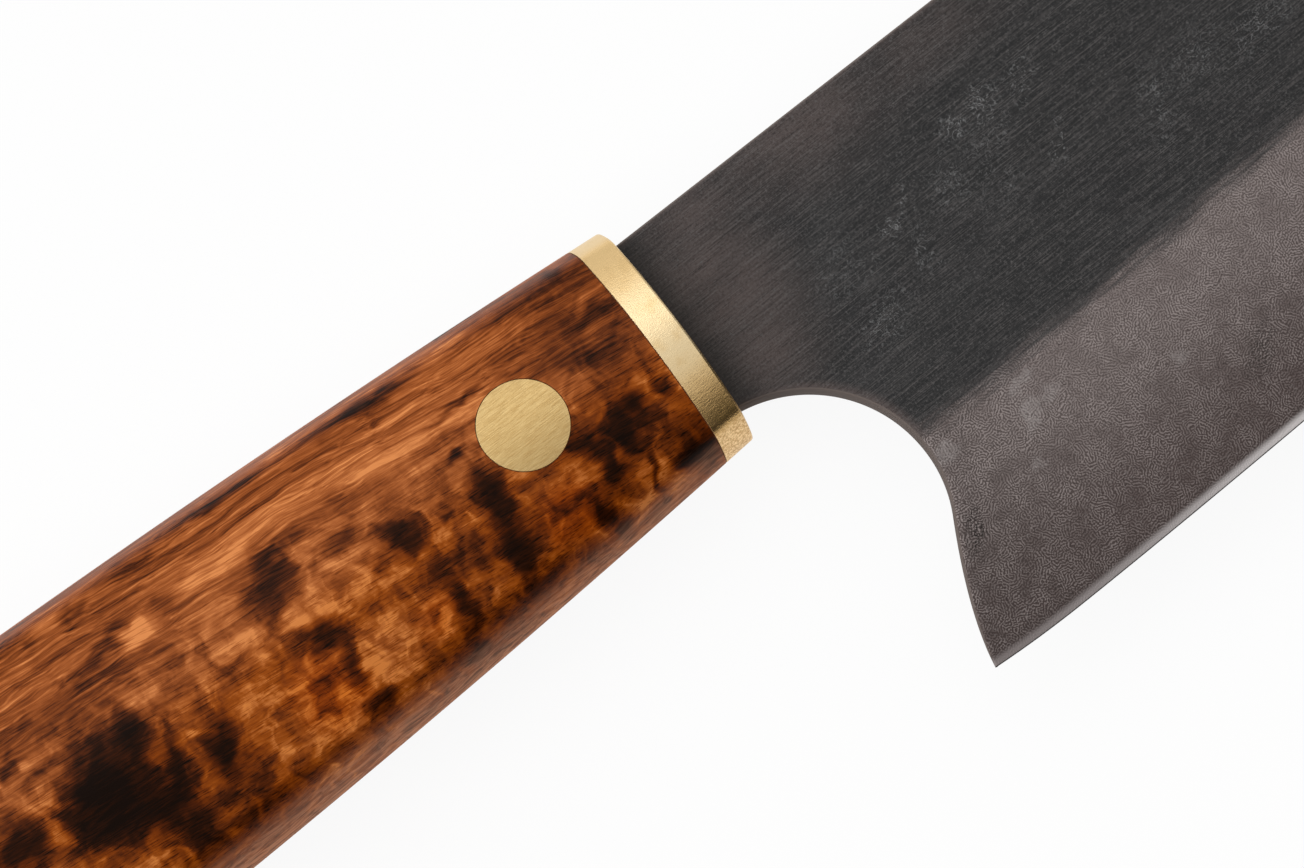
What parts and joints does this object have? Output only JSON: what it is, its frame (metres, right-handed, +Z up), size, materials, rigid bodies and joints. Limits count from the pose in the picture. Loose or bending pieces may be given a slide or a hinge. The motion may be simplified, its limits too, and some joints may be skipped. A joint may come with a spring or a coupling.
{
  "type": "santoku knife",
  "caption": "Santoku kitchen knife with a forge-scaled blade, ground bevel, round finger notch, brass ferrule and a burl wood handle pinned to a hidden tang.",
  "frame": {"origin": "under the middle of the knife's box, on the surface that the handle's side lies on", "axes": "+X along the handle towards the tip, +Y towards the spine, +Z up through the blade's thickness"},
  "size_m": [0.2986, 0.0544, 0.0195],
  "materials": {
    "blade_steel": "dark forge scale on the flats, fine matt grind on the bevel, bright edge",
    "ferrule_brass": "satin, finely scratched",
    "handle_wood": "polished oiled burl",
    "pin_brass": "ground flush, brushed along the handle",
    "adhesive": "brown cured epoxy"
  },
  "bodies": {
    "root": {"blade": "blade_steel", "ferrule": "ferrule_brass", "handle": "handle_wood", "handle_pin": "pin_brass", "epoxy_bed": "adhesive"}
  },
  "joints": []
}
